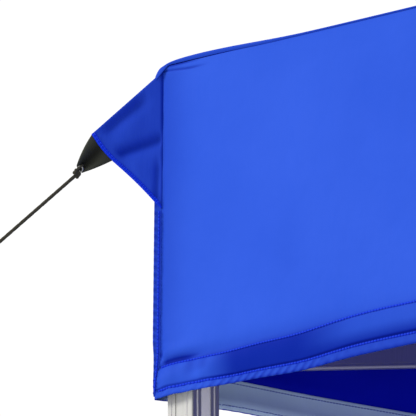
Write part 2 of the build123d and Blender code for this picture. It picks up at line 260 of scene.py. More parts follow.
def stitches(starts, ends, away, radius):
    """Points and faces of thread stitches, each a grain shape from its start to its end."""
    starts, ends = np.asarray(starts, float), np.asarray(ends, float)
    away = np.broadcast_to(np.asarray(away, float), starts.shape)
    along = ends - starts
    side = np.cross(along, away)
    side /= np.linalg.norm(side, axis=1)[:, None]
    rings = [starts[:, None]]
    for share in (0.2, 0.8):
        middle = starts + share * along + away * radius * 0.6
        rings.append(np.stack([middle + r * radius for r in (side, away, -side, -away)], 1))
    rings.append(ends[:, None])
    points = np.concatenate(rings, 1)
    one = [(0, 1 + (j + 1) % 4, 1 + j) for j in range(4)]
    one += [(1 + j, 1 + (j + 1) % 4, 5 + (j + 1) % 4, 5 + j) for j in range(4)]
    one += [(9, 5 + j, 5 + (j + 1) % 4) for j in range(4)]
    faces = [[10 * n + i for i in f] for n in range(len(starts)) for f in one]
    return points.reshape(-1, 3), faces


def thread_run(starts, pitch):
    """Starts and ends of stitches with short gaps, as distances along a run."""
    return starts, starts + STITCH_SHARE * pitch


def joined(parts):
    """Several sets of points and faces as one."""
    points, faces, count = [], [], 0
    for p, f in parts:
        points.append(p)
        faces += [[i + count for i in face] for face in f]
        count += len(p)
    return np.concatenate(points), faces


# materials


def new_material(name):
    material = bpy.data.materials.new(name)
    material.use_nodes = True
    return material, material.node_tree, material.node_tree.nodes["Principled BSDF"]


def feed(tree, made, inputs):
    """A node with its inputs set to values, or linked to other nodes' sockets."""
    for key, value in inputs.items():
        if isinstance(value, bpy.types.NodeSocket):
            tree.links.new(value, made.inputs[key])
        else:
            made.inputs[key].default_value = value
    return made


def node(tree, kind, inputs=None, **settings):
    made = tree.nodes.new(kind)
    for key, value in settings.items():
        setattr(made, key, value)
    return feed(tree, made, inputs or {})


def maths(tree, operation, *values):
    return node(tree, "ShaderNodeMath", dict(enumerate(values)), operation=operation).outputs[0]


def blended(tree, share, a, b):
    """A colour between a and b, each a colour or a socket."""
    a, b = ((*c, 1) if isinstance(c, tuple) else c for c in (a, b))
    return node(tree, "ShaderNodeMix", {0: share, 6: a, 7: b}, data_type="RGBA").outputs[2]


def ranged(tree, value, low, high, to_low=0.0, to_high=1.0):
    """A value's place between low and high, from to_low to to_high."""
    inputs = {"Value": value, "From Min": low, "From Max": high, "To Min": to_low, "To Max": to_high}
    return node(tree, "ShaderNodeMapRange", inputs).outputs["Result"]


def noise(tree, vector, scale, detail=2.0, stretch=(1, 1, 1)):
    """Noise over a vector, its scale in turns per metre, drawn out along the axes with a small stretch."""
    placed = node(tree, "ShaderNodeMapping", {"Vector": vector, "Scale": stretch}).outputs["Vector"]
    inputs = {"Vector": placed, "Scale": scale, "Detail": detail}
    return node(tree, "ShaderNodeTexNoise", inputs).outputs["Fac"]


def bumped(tree, height, distance, strength=1.0, below=None):
    inputs = {"Height": height, "Distance": distance, "Strength": strength}
    if below is not None:
        inputs["Normal"] = below
    return node(tree, "ShaderNodeBump", inputs).outputs["Normal"]


def object_place(tree):
    return node(tree, "ShaderNodeTexCoord").outputs["Object"]


def weave(tree, cloth, pitch):
    """Plain weave: crossing threads of this pitch."""
    inputs = {"Vector": cloth, "Scale": 2 * math.pi / (20 * pitch)}
    bands = [node(tree, "ShaderNodeTexWave", inputs, wave_type="BANDS", bands_direction=d) for d in "XY"]
    return maths(tree, "MAXIMUM", *(band.outputs["Fac"] for band in bands))


def cloth_material(name, colour, shade, double_and_shade_colour, roughness=0.6, sheen=0.0, crumple=0.0005, pitch=0.0007):
    """Woven cloth: colour drifting to shade, darker where the cloth is double and where shade is painted on,
    near black where painted shade is deepest, with weave, slubs and soft crumples.
    """
    material, tree, shader = new_material(name)
    cloth = node(tree, "ShaderNodeAttribute", attribute_name="cloth").outputs["Vector"]
    layers = node(tree, "ShaderNodeAttribute", attribute_name="layers").outputs["Fac"]
    deep = maths(tree, "MAXIMUM", maths(tree, "SUBTRACT", layers, 1.0), 0.0)
    drift = ranged(tree, noise(tree, cloth, 7.0, 3.0), 0.35, 0.65)
    slub = noise(tree, cloth, 60.0, 2.0, (18, 0.6, 1))
    base = blended(tree, drift, colour, shade)
    base = blended(tree, ranged(tree, slub, 0.5, 0.8, 0.0, 0.35), base, shade)
    # Painted shade: the cloth darkens towards its double-cloth colour as its darkness value rises to 1, and
    # towards near black above 1.
    base = blended(tree, layers, base, double_and_shade_colour)
    base = blended(tree, deep, base, (0.0, 0.1 * double_and_shade_colour[1], 0.2 * double_and_shade_colour[2]))
    rough = ranged(tree, slub, 0.3, 0.7, roughness - 0.05, roughness + 0.07)
    normal = bumped(tree, noise(tree, cloth, 16.0, 3.0), crumple * 4)
    normal = bumped(tree, slub, 0.00010, 0.5, normal)
    normal = bumped(tree, weave(tree, cloth, pitch), 0.00006, 0.35, normal)
    feed(tree, shader, {"Base Color": base, "Roughness": rough, "Normal": normal})
    feed(tree, shader, {"Sheen Weight": sheen, "Sheen Roughness": 0.45, "Specular IOR Level": 0.04})
    return material


def thread_material(name, colour):
    """Twisted sewing thread."""
    material, tree, shader = new_material(name)
    place = object_place(tree)
    twist = noise(tree, place, 900.0, 1.0)
    dark = tuple(0.85 * c for c in colour)
    base = blended(tree, ranged(tree, twist, 0.35, 0.65), dark, colour)
    rough = ranged(tree, twist, 0.3, 0.7, 0.4, 0.55)
    normal = bumped(tree, twist, 0.0002, 0.6)
    feed(tree, shader, {"Base Color": base, "Roughness": rough, "Normal": normal, "Specular IOR Level": 0.06})
    return material


# a leg's face: half the wide groove, the fine groove's middle and half its width, and the pale colours
# painted on its front and back faces as light
WIDE_GROOVE = 0.0054
FINE_GROOVE_AT = 0.0098
FINE_GROOVE = 0.0009
LIT_FACE_PALE = (0.73, 0.73, 0.705)
LIT_FACE_GREY = (0.60, 0.60, 0.575)


def leg_finish(tree, place, drawn, base, groove_highlight):
    """A leg's colour and where it is matte: its groove floors, painted near white as a highlight, and its
    front and back faces, made paler and matte as painted light.
    """
    axes = node(tree, "ShaderNodeSeparateXYZ", {"Vector": place}).outputs
    off = [maths(tree, "SUBTRACT", maths(tree, "ABSOLUTE", axes[i]), LEG_AXIS) for i in (0, 1)]
    middle = maths(tree, "MINIMUM", *(maths(tree, "ABSOLUTE", o) for o in off))
    wide = maths(tree, "LESS_THAN", middle, WIDE_GROOVE)
    fine = maths(tree, "COMPARE", middle, FINE_GROOVE_AT, FINE_GROOVE)
    inside = maths(tree, "MAXIMUM", wide, fine)
    facing = node(tree, "ShaderNodeNewGeometry").outputs["True Normal"]
    facing = maths(tree, "ABSOLUTE", node(tree, "ShaderNodeSeparateXYZ", {"Vector": facing}).outputs["Y"])
    # Painted light: the leg's front and back faces are made paler and matte.
    lit_satin = ranged(tree, facing, 0.6, 0.8)
    # Painted highlight: the groove floors are drawn near white.
    base = blended(tree, inside, base, groove_highlight)
    base = blended(tree, lit_satin, base, blended(tree, drawn, LIT_FACE_PALE, LIT_FACE_GREY))
    return base, maths(tree, "MAXIMUM", inside, lit_satin)


def metal_material(name, colour, roughness, across=90.0, groove_highlight=None):
    """Extruded aluminium, drawn lengthwise; the optional colour is painted near white on a leg's groove
    floors as a highlight.
    """
    material, tree, shader = new_material(name)
    place = object_place(tree)
    drawn = noise(tree, place, across, 3.0, (12, 12, 0.25))
    handled = noise(tree, place, 9.0, 4.0)
    worn = tuple(0.86 * c for c in colour)
    base = blended(tree, ranged(tree, drawn, 0.35, 0.65, 0.0, 0.7), colour, worn)
    rough = maths(
        tree, "ADD", ranged(tree, drawn, 0.3, 0.7, roughness - 0.06, roughness + 0.06),
        ranged(tree, handled, 0.45, 0.75, 0.0, 0.08),
    )
    metallic = 1.0
    if groove_highlight:
        base, matte = leg_finish(tree, place, drawn, base, groove_highlight)
        rough = maths(tree, "ADD", rough, maths(tree, "MULTIPLY", matte, 0.30))
        metallic = ranged(tree, matte, 0.0, 1.0, 1.0, 0.12)
    normal = bumped(tree, drawn, 0.00006, 0.5)
    feed(tree, shader, {"Base Color": base, "Roughness": rough, "Metallic": metallic, "Normal": normal})
    return material


def plastic_material(name, colour, roughness):
    """Moulded plastic: a fine grain, faint flow marks and dusty scuffs."""
    material, tree, shader = new_material(name)
    place = object_place(tree)
    grain = noise(tree, place, 1400.0, 2.0)
    flow = noise(tree, place, 22.0, 3.0, (1, 1, 3))
    scuff = ranged(tree, noise(tree, place, 60.0, 6.0), 0.58, 0.72)
    pale = tuple(min(1.0, 1.6 * c + 0.02) for c in colour)
    base = blended(tree, ranged(tree, flow, 0.4, 0.7, 0.0, 0.5), colour, pale)
    base = blended(tree, maths(tree, "MULTIPLY", scuff, 0.25), base, (0.16, 0.155, 0.15))
    rough = maths(
        tree, "ADD", ranged(tree, grain, 0.3, 0.7, roughness - 0.06, roughness + 0.06),
        maths(tree, "MULTIPLY", scuff, 0.12),
    )
    normal = bumped(tree, grain, 0.00012, 0.5, bumped(tree, flow, 0.0003, 0.3))
    feed(tree, shader, {"Base Color": base, "Roughness": rough, "Normal": normal})
    return material


BLUE = (0.034, 0.118, 0.80)
BLUE_SHADE = (0.028, 0.106, 0.76)
# Dark blue for double cloth, also the colour painted shade darkens the canopy towards.
BLUE_DOUBLE_AND_SHADE = (0.0005, 0.017, 0.385)
NAVY = (0.0003, 0.0045, 0.50)
NAVY_SHADE = (0.0002, 0.0030, 0.42)

canopy_fabric = cloth_material("canopy_fabric", BLUE, BLUE_SHADE, BLUE_DOUBLE_AND_SHADE)
canopy_reverse = cloth_material("canopy_reverse", NAVY, NAVY_SHADE, NAVY, roughness=0.5)
hem_facing_fabric = cloth_material(
    "hem_facing_fabric", (0.47, 0.62, 0.86), (0.41, 0.55, 0.80), (0.20, 0.28, 0.60),
)
# The ear and fin cloth: the canopy's blue drawn darker, for its double cloth and as painted shade.
shaded_ear_fabric = cloth_material(
    "shaded_ear_fabric", (0.030, 0.096, 0.76), (0.014, 0.064, 0.64), BLUE_DOUBLE_AND_SHADE, crumple=0.0008,
)
tape_fabric = cloth_material(
    "tape_fabric", (0.008, 0.044, 0.86), (0.005, 0.034, 0.74), BLUE_DOUBLE_AND_SHADE, crumple=0.0002,
)
tab_fabric = cloth_material(
    "tab_fabric", (0.070, 0.075, 0.058), (0.052, 0.056, 0.044), (0.004, 0.004, 0.004),
    roughness=0.45, sheen=0.1, crumple=0.0003, pitch=0.0011,
)
rope_fabric = cloth_material(
    "rope_fabric", (0.075, 0.070, 0.050), (0.030, 0.029, 0.022), (0.05, 0.05, 0.045),
    sheen=0.1, crumple=0.0001, pitch=0.0008,
)
blue_thread = thread_material("blue_thread", (0.020, 0.075, 1.0))
navy_thread = thread_material("navy_thread", (0.16, 0.22, 0.62))
rivet_metal = metal_material("rivet_metal", (0.62, 0.62, 0.64), 0.28, across=300.0)
eyelet_metal = metal_material("eyelet_metal", (0.45, 0.45, 0.44), 0.2, across=300.0)
finishes = {
    "leg_tube": metal_material("leg_metal", (0.51, 0.51, 0.495), 0.36, groove_highlight=(0.93, 0.91, 0.96)),
    "inner_leg_tube": metal_material("inner_leg_metal", (0.62, 0.62, 0.61), 0.30),
    # The bars' grey is drawn dark and tinted blue: painted shade and a painted reflection of the navy cloth.
    "truss_bar": metal_material("shaded_bar_metal", (0.27, 0.27, 0.42), 0.42, across=120.0),
    "mast_tube": metal_material("mast_metal", (0.76, 0.76, 0.77), 0.34),
    "connector_plastic": plastic_material("connector_plastic", (0.018, 0.018, 0.020), 0.46),
    "slider_plastic": plastic_material("slider_plastic", (0.022, 0.022, 0.025), 0.42),
    "lock_pin": plastic_material("pin_plastic", (0.21, 0.21, 0.23), 0.36),
}


# camera


AZIMUTH = math.radians(47.652)
ELEVATION = math.radians(-12.123)
DISTANCE = 16.0
VIEW_WIDTH = 0.3575
TARGET_RIGHT = 0.0386
TARGET_DOWN = 0.1216
SENSOR = 36.0


def make_camera():
    """The camera looks up at the front left corner from low in front and to the right."""
    right = Vector((math.cos(AZIMUTH), math.sin(AZIMUTH), 0))
    level = math.cos(ELEVATION)
    back = Vector((math.sin(AZIMUTH) * level, -math.cos(AZIMUTH) * level, math.sin(ELEVATION)))
    up = back.cross(right)
    target = Vector((-EAVE_HALF, -EAVE_HALF, EAVE_Z)) + TARGET_RIGHT * right - TARGET_DOWN * up
    data = bpy.data.cameras.new("camera")
    data.sensor_width = SENSOR
    data.lens = SENSOR * DISTANCE / VIEW_WIDTH
    data.clip_end = 2000
    camera = bpy.data.objects.new("camera", data)
    camera.location = target + DISTANCE * back
    camera.rotation_mode = "QUATERNION"
    camera.rotation_quaternion = (-back).to_track_quat("-Z", "Y")
    bpy.context.scene.collection.objects.link(camera)
    bpy.context.scene.camera = camera


make_camera()


# guy ropes


def route_line(name, points):
    """Points along the smooth line that a cord's route makes."""
    curve = bpy.data.curves.new(name, "CURVE")
    curve.dimensions = "3D"
    spline = curve.splines.new("NURBS")
    spline.points.add(len(points) - 1)
    for place, p in zip(spline.points, points):
        place.co = (*p, 1.0)
    spline.order_u = 3
    spline.use_endpoint_u = True
    spline.resolution_u = 60
    holder = bpy.data.objects.new(name, curve)
    bpy.context.scene.collection.objects.link(holder)
    bpy.context.view_layer.update()
    mesh = bpy.data.meshes.new_from_object(holder)
    line = np.array([v.co for v in mesh.vertices], float)
    bpy.data.objects.remove(holder)
    bpy.data.meshes.remove(mesh)
    return line


def resampled(line, pitch):
    """The same line with evenly spaced points."""
    gone = lengths(line)
    at = np.linspace(0, gone[-1], max(2, round(gone[-1] / pitch) + 1))
    return np.stack([np.interp(at, gone, line[:, i]) for i in range(3)], -1)


def knot_line(centre, along, size, turns=96):
    """A closed trefoil round centre, flattened along the cord: an overhand knot pulled tight."""
    along = np.asarray(along, float)
    side = np.cross(along, (0, 0, 1.0))
    side /= np.linalg.norm(side)
    up = np.cross(side, along)
    t = 2 * math.pi * np.arange(turns) / turns
    a = np.sin(t) + 2 * np.sin(2 * t)
    b = np.cos(t) - 2 * np.cos(2 * t)
    c = -np.sin(3 * t)
    shape = a[:, None] * side + b[:, None] * up + 1.7 * c[:, None] * along
    return np.asarray(centre, float) + size / 3 * shape


def rope_point(distance):
    """A point along the front left rope, from its start."""
    out, up = ROPE_START
    return diagonal(out + distance * math.cos(ROPE_FALL), up - distance * math.sin(ROPE_FALL))


def rope_loop():
    """A ring of points through the eyelet, leaning with the tab."""
    t = 2 * math.pi * np.arange(48) / 48
    out = LOOP_MIDDLE[0] - LOOP_REACH * np.cos(t) * 0.8
    up = LOOP_MIDDLE[1] + LOOP_REACH * np.cos(t) * 0.75
    return diagonal(out, up, 0.0026 * np.sin(t))


def make_guy_ropes():
    """Each corner's rope, taut from the tab, with its knots, its tail and its loop through the eyelet."""
    along = rope_point(1.0) - rope_point(0.0)
    start, end = rope_point(0.0), rope_point(ROPE_LENGTH)
    route = np.array([rope_point(d) for d in (0.0, ROPE_MIDDLE, ROPE_LENGTH)])
    near = lerp(start, diagonal(*NEAR_KNOT_AT), 0.60)
    tail_route = np.array([diagonal(*p) for p in ROPE_TAIL])
    for k, corner in enumerate(CORNERS):
        line = resampled(route_line(f"{corner}_route", turned(route, k)), 0.0008)
        rope = tube(f"{corner}_rope", line, ROPE_WIDTH / 2, rope_fabric, sides=14, braid=0.16)
        others = []
        for name, where, size in (("rope_knot", near, NEAR_KNOT), ("rope_end_knot", end, END_KNOT)):
            knot = knot_line(turned(where, k), turned(along, k), size)
            others.append(tube(
                f"{corner}_{name}", knot, 0.52 * ROPE_WIDTH, rope_fabric, sides=10, braid=0.14, closed=True,
            ))
        others.append(tube(
            f"{corner}_rope_loop", turned(rope_loop(), k), LOOP_WIDTH / 2, rope_fabric,
            sides=8, braid=0.12, closed=True,
        ))
        tail = resampled(route_line(f"{corner}_tail_route", turned(tail_route, k)), 0.0006)
        others.append(tube(f"{corner}_rope_tail", tail, 0.45 * ROPE_WIDTH, rope_fabric, braid=0.16))
        for p in (rope, *others):
            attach(p, f"{corner}_outer_leg")
        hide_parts(f"{corner}_guy_rope")


make_guy_ropes()


# the canopy's cloth surfaces


def valance_half(h):
    """The valance's half width at a height above the hem."""
    return EAVE_HALF + 0.0022 * (1 - np.asarray(h, float) / VALANCE)


def hem_drop(d, side):
    """How far the hem hangs below its own level: a soft sag, and the weight of the corner's seam."""
    sag = HEM_SAG[side] * (bell(d, 0.182, 0.055) + 0.25 * step(0.2, 0.3, d))
    return sag + 0.0012 * fall(0.0, 0.025, d)


def hem_widening(d, h, side):
    """How much higher the hem's stitching runs away from the corner."""
    rise = WIDER_HEM[side] * step(0.09, 0.30, d) + 0.25 * WIDER_HEM[side] * step(0.07, 0.14, d)
    return rise * np.clip(h / UPPER_STITCH, 0, 1) ** 0.7 * fall(UPPER_STITCH, 0.13, h)


def eave_tuck(d):
    """The height above the hem of the small tuck under the eave."""
    return VALANCE - 0.0040 - 0.0022 * step(0.0, 0.04, d)


def valance_relief(d, h, seed):
    """How far the front valance stands out of its plane, d from the corner and h above the hem."""
    corner = fall(0.045, 0.100, d)
    far = step(0.17, 0.25, d)
    dark = (1 - corner) * (1 - far)
    tilt = 0.0050 * dark + 0.0038 * far
    middle = 1 - 0.5 * bell(d, SIDE_LENGTH / 2, 0.10)
    band = np.clip((UPPER_STITCH - h) / (UPPER_STITCH - LOWER_STITCH), 0, 1)
    relief = -tilt * middle * (0.35 * band + 0.65 * band**2)
    relief += (0.0012 + 0.0012 * dark) * np.clip((LOWER_STITCH - h) / LOWER_STITCH, 0, 1)
    relief += np.sin(math.pi * band) * (0.0014 * corner + 0.0003) * (1 + 0.6 * wave(d, 0.046, -0.6))
    relief += 0.0006 * corner * band * wave(d + 0.8 * h, 0.021, 0.8)
    relief += 0.0013 * corner * step(0.002, 0.014, d) * fall(0.045, 0.085, h)
    run = step(0.002, 0.009, d) * fall(0.026, 0.066, d)
    relief -= 0.0026 * run * bell(h, UPPER_STITCH + 0.0038, 0.0034)
    relief += 0.0010 * bell(d, 0.0040, 0.0030) * bell(h, UPPER_STITCH + 0.0045, 0.0030)
    relief -= 0.0012 * bell(d, 0.060, 0.040) * bell(h, UPPER_STITCH + 0.004, 0.0050)
    relief += 0.0010 * run * bell(h, UPPER_STITCH + 0.0125, 0.0045)
    relief -= 0.0010 * bell(d, 0.130, 0.070) * bell(h, UPPER_STITCH + 0.005, 0.007)
    relief -= 0.0003 * bell(h, UPPER_STITCH, 0.0010) + 0.0006 * bell(h, LOWER_STITCH + 0.0006, 0.0010)
    slant = d - 0.9 * h + 0.0015 * wave(d, 0.037, seed)
    relief += 0.00042 * wave(slant, 0.0105, seed) * fall(0.003, 0.013, h) * (1 - 0.7 * far)
    relief += 0.00012 * wave(d, 0.0083, seed + 1) * bell(h, UPPER_STITCH + 0.002, 0.005)
    relief += 0.00025 * wave(h, 0.0073, seed) * bell(d, 0.005, 0.005)
    relief -= 0.0006 * bell(d, 0.0026, 0.0013)
    belly = 0.5 + 0.5 * wave(d, 0.83, 0.6 + seed) * wave(d, 1.9, seed)
    soft = 0.5 + 0.5 * wave(d + 0.35 * h, 0.23, 2.0 + seed)
    relief += step(0.03, 0.16, d) * fall(0.10, 0.270, h) * (0.0040 * belly + 0.0010 * soft)
    fixed = step(0.0, 0.0012, d) * fall(0.262, 0.284, h)
    tuck = bell(h, eave_tuck(d), 0.0010) * fall(0.030, 0.062, d) * step(0.0, 0.002, d)
    return relief * fixed - 0.0006 * tuck


def corner_flare(d, h):
    """How far the hem's corner stands out past the leg."""
    return 0.0026 * fall(0.004, 0.042, h) * fall(0.0, 0.050, d)


def valance_point(along, h, side, lift=0.0):
    """A point of a valance turned to the front: along it, h above the hem, and lift off its outside."""
    seed = 1.7 * side
    along, h = np.broadcast_arrays(np.asarray(along, float), np.asarray(h, float))
    d = np.minimum(along, SIDE_LENGTH - along)
    half = valance_half(h)
    left = np.where(along < SIDE_LENGTH / 2, 1, -1)
    flare = corner_flare(d, h)
    x = half * (along / EAVE_HALF - 1) - left * flare
    y = -(half + flare + valance_relief(d, h, seed + 0.7 * (1 - left)) + lift)
    low = HEM_Z - hem_drop(d, side)
    z = low + (EAVE_Z - 0.0006 - low) * h / VALANCE + hem_widening(d, h, side)
    return np.stack([x, y, z], -1)


def roof_line(d):
    """The roof's height at a distance from the middle: steep at the peak, shallow at the eave."""
    bend = (PEAK_SLOPE - EAVE_SLOPE) / (2 * EAVE_HALF)
    return PEAK_Z - PEAK_SLOPE * d + bend * d * d


def corner_rise(a, b):
    """The roof's rounded shoulder over a leg head, at distances a and b from the two eaves."""
    nearest, other = np.minimum(a, b), np.maximum(a, b)
    shoulder = (1 - np.exp(-other / 0.012)) * bell(np.maximum(other, 0.045), 0.045, 0.080)
    return (0.0003 + 0.0040 * shoulder) * fall(0.0, 0.10, nearest)


def roof_height(x, y, lift=0.0):
    """The roof cloth's height: it sags a little between the hips and wrinkles softly towards the corners."""
    x, y = np.asarray(x, float), np.asarray(y, float)
    d = np.maximum(np.abs(x), np.abs(y))
    other = np.minimum(np.abs(x), np.abs(y))
    share = other / np.maximum(d, 1e-6)
    run = np.clip(d / EAVE_HALF, 0, 1)
    z = roof_line(d) - 0.0035 * bell(d, 0.0, 0.013)
    z = z - 0.010 * (1 - share**2) * np.sin(math.pi * run)
    a, b = EAVE_HALF - np.abs(x), EAVE_HALF - np.abs(y)
    z = z + corner_rise(a, b)
    reach = np.hypot(a, b)
    fan = wave(np.arctan2(np.maximum(b, 0), np.maximum(a, 1e-6)), 0.26, 1.3)
    inward = np.minimum(a, b)
    z = z + 0.0014 * fan * bell(reach, 0.36, 0.20) * step(0.06, 0.20, inward)
    z = z - 0.0060 * step(0.010, 0.12, inward) * fall(0.5, 1.3, inward)
    z = z + 0.0012 * wave(x + 0.3 * y, 0.47, 0.4) * wave(y - 0.2 * x, 0.39, 1.9) * np.sin(math.pi * run)
    return z + lift


def fold_weights(points):
    """How far each point follows the connectors and the mast as the frame folds."""
    x, y, z = points[:, 0], points[:, 1], points[:, 2]

    def gathered(along, period):
        return 0.5 - 0.5 * np.cos(2 * math.pi * along / period)

    weights = {}
    for body, across, along in (
        ("front_top_connector", -y, x), ("back_top_connector", y, x),
        ("left_top_connector", -x, y), ("right_top_connector", x, y),
    ):
        reach = np.clip(across / LEG_AXIS, 0, 1)
        pleat = SIDE_PLEAT_SHARE * gathered(along, SIDE_PLEAT) * step(0.9, 1.0, reach)
        inside = fall(LEG_AXIS - 0.03, LEG_AXIS, np.abs(along))
        weights[body] = reach * (1 - pleat * inside)
    peak = np.clip((z - EAVE_Z) / (PEAK_Z - EAVE_Z), 0, 1)
    run = np.maximum(np.abs(x), np.abs(y)) / EAVE_HALF
    loose = np.sin(math.pi * np.clip(run, 0, 1))
    standing = gathered(np.minimum(np.abs(x), np.abs(y)), ROOF_PLEAT)
    weights["mast"] = peak * (1 - ROOF_PLEAT_SHARE * standing * loose)
    return weights


def folding_piece(name, points, faces, materials, **settings):
    """A piece that gathers as the frame folds: each point follows the frame's parts by its weights."""
    made = piece(name, points, faces, materials, **settings)
    points = np.array([v.co for v in made.data.vertices], float)
    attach(made, "top")
    for body, values in fold_weights(points).items():
        group = made.vertex_groups.new(name=body)
        for index in np.flatnonzero(values > 1e-4):
            group.add([int(index)], float(values[index]), "REPLACE")
        hook = made.modifiers.new(body, "HOOK")
        hook.object = frame["bodies"][body]
        hook.vertex_group = body
        hook.falloff_type = "NONE"
        made.modifiers.move(len(made.modifiers) - 1, 0)
    return made


def side_columns(fine):
    """Distances along a side: close together at the corners, wide in the middle."""
    half = spaced((0.006, 0.0012), (0.20, 0.003 * fine), (0.40, 0.006 * fine), (SIDE_LENGTH / 2, 0.022))
    return np.concatenate([half, (SIDE_LENGTH - half[:-1])[::-1]])


def hem_double_and_shade(d, h):
    """Painted shade on a valance, with its double hem band: darker in the band, most where it tilts away from
    the light, except where it puffs out at the corner; painted shade also lies above the stitching, in the
    corner's valley, the groove, the tuck and the seam, under the eave and along the bottom strip.
    """
    corner = fall(0.050, 0.098, d)
    far = step(0.17, 0.26, d)
    inside = step(LOWER_STITCH - 0.0004, LOWER_STITCH + 0.0004, h)
    inside = inside * fall(UPPER_STITCH - 0.0003, UPPER_STITCH + 0.0005, h)
    upward = (h - LOWER_STITCH) / (UPPER_STITCH - LOWER_STITCH)
    # The hem band: double cloth, with painted shade where it tilts away from the light; lighter at the
    # corner, where it puffs out, and in its upper part further along.
    band = inside * (0.95 - 0.90 * corner - 0.72 * far * step(0.0, 0.60, upward))
    # Painted highlights on two puffs of the band near the corner.
    puff_highlight = bell(d, 0.007, 0.009) * bell(h, 0.0165, 0.0055) + bell(d, 0.052, 0.015) * bell(h, 0.0135, 0.0045)
    # Painted shade in soft patches over the band near the corner.
    shade_patches = 0.16 + 0.26 * bell(d, 0.050, 0.020) + 0.14 * wave(d, 0.019, 0.9) * upward
    shade_patches = inside * corner * shade_patches * (1 - puff_highlight)
    # Painted shade just above the upper stitching, fading upwards.
    above = 0.70 * np.exp(-np.maximum(h - UPPER_STITCH, 0) / 0.0060) * (h > UPPER_STITCH) * (1 - 0.65 * far)
    # Painted shade in the corner's valley above the stitching, and a dark spot higher up by the seam.
    run = step(0.002, 0.009, d) * fall(0.024, 0.068, d)
    valley = 1.35 * run * bell(h, UPPER_STITCH + 0.0034, 0.0030)
    valley = np.maximum(valley, 0.9 * bell(d, 0.0020, 0.0032) * bell(h, UPPER_STITCH + 0.0110, 0.0026))
    # Painted shade along the bottom strip below the lower stitching, darkest at its edge and in bands along
    # its puckers.
    pucker = 0.24 * wave(d - 0.9 * h, 0.0105, 0.7) * step(0.030, 0.070, d) * (1 - 0.8 * far)
    strip = (h < LOWER_STITCH) * (0.16 + 0.34 * (1 - corner) + 0.35 * fall(0.0, 0.0028, h) + pucker)
    # Painted shade in the groove just above the lower stitching.
    groove = (0.85 + 0.75 * (1 - corner)) * bell(h, LOWER_STITCH + 0.0019, 0.0009)
    # Painted shade in the tuck under the eave near the corner.
    tuck = 0.75 * bell(h, eave_tuck(d), 0.0011) * fall(0.030, 0.062, d)
    # Painted shadow along the top, under the roof's rolled edge.
    eave = 0.95 * step(VALANCE - 0.0016, VALANCE - 0.0006, h) * fall(0.020, 0.055, d)
    # Painted shade in the corner seam.
    seam = 0.9 * bell(d, 0.0004, 0.0007)
    # Darker towards the corner.
    edge = 0.26 * fall(0.0, 0.05, d) ** 1.5
    return np.maximum.reduce([band, shade_patches, above, valley, strip, groove, tuck, eave, seam, edge])


def hem_stitches(k):
    """Points and faces of one valance's stitching: outside, in blue, and inside on the facing."""
    outside, inside = [], []
    for line, radius in ((UPPER_STITCH, UPPER_THREAD), (LOWER_STITCH, LOWER_THREAD)):
        run = thread_run(np.arange(0.0035, SIDE_LENGTH - 0.0065, HEM_PITCH), HEM_PITCH)
        a, b = (valance_point(u, np.full_like(u, line), k, 0.0003) for u in run)
        outside.append(stitches(a, b, (0, -1, 0), radius))
        a, b = (valance_point(u[2:-2], np.full_like(u[2:-2], line - 0.0030), k, -0.0013) for u in run)
        inside.append(stitches(a, b, (0, 1, 0), INNER_THREAD))
    return joined(outside), joined(inside)


def make_valances():
    """The four valances with their turned hems, inside facings and stitching."""
    rows = spaced(
        (0.0102, 0.00085), (0.0256, 0.0019), (0.0296, 0.0008), (0.056, 0.0022), (0.27, 0.012), (0.280, 0.003),
        (VALANCE, 0.0009),
    )
    along, h = np.meshgrid(side_columns(1), rows)
    near = np.minimum(along, SIDE_LENGTH - along)
    facing_rows = np.array([0.0006, 0.0036, 0.0068, 0.011, 0.016, 0.0210, 0.0244, 0.0262, FACING_TOP])
    f_along, f_h = np.meshgrid(np.clip(side_columns(2), 0.003, SIDE_LENGTH - 0.003)[2:-2], facing_rows)
    # Painted shade: the facing turns near black close to each corner, under the hem's corner.
    facing_shade = 1.9 * fall(0.004, 0.030, np.minimum(f_along, SIDE_LENGTH - f_along))
    for k, side in enumerate(SIDES):
        valance = folding_piece(
            f"{side}_valance", turned(valance_point(along, h, k), k), grid_faces(*h.shape),
            [canopy_fabric, canopy_reverse], cloth=np.stack([along, h, np.full_like(h, k)], -1),
            layers=hem_double_and_shade(near, h), thick=CLOTH,
        )
        points = turned(valance_point(f_along, f_h, k, -CLOTH - 0.0003), k)
        others = [folding_piece(
            f"{side}_hem_facing", points, grid_faces(*f_h.shape), [hem_facing_fabric],
            cloth=np.stack([f_along, f_h, np.full_like(f_h, k)], -1), layers=facing_shade, thick=0.0004,
        )]
        sewn = zip(("hem_stitching", "facing_stitching"), hem_stitches(k), (blue_thread, navy_thread))
        for name, (points, faces), material in sewn:
            others.append(folding_piece(f"{side}_{name}", turned(points, k), faces, [material]))


def roof_grid():
    """Distances from the middle along one axis, close together towards the eaves."""
    half = EAVE_HALF - spaced(
        (0.012, 0.0015), (0.045, 0.0033), (0.12, 0.0075), (0.32, 0.018),
        (EAVE_HALF - 0.06, 0.05), (EAVE_HALF, 0.012),
    )
    half = half[::-1]
    half[0] = 0.0
    return np.concatenate([-half[:0:-1], half])


def rim_point(d, r):
    """The roof's rolled edge, d from the corner and a share r round its roll: how far out, and its height."""
    top = EAVE_Z + corner_rise(d, np.zeros_like(d))
    end = EAVE_Z - 0.0001 - 0.0014 * step(0.06, 0.15, d)
    out = 0.0012 * np.sin(math.pi * r**0.8) + 0.0004 * r
    z = top + (end - top) * r**1.2
    shares = np.array([0.0, 0.2, 0.4, 0.6, 0.8, 1.0])
    beak = np.interp(r, shares, [0.0, 0.0016, 0.0034, 0.0051, 0.0066, 0.0076]) / math.sqrt(2)
    beak_z = np.interp(r, shares, [EAVE_Z + 0.0003, 2.0993, 2.0976, 2.0948, 2.0911, 2.0870])
    tight = bell(d, 0.0, 0.0042)
    return out + (beak - out) * tight, z + (beak_z - z) * tight


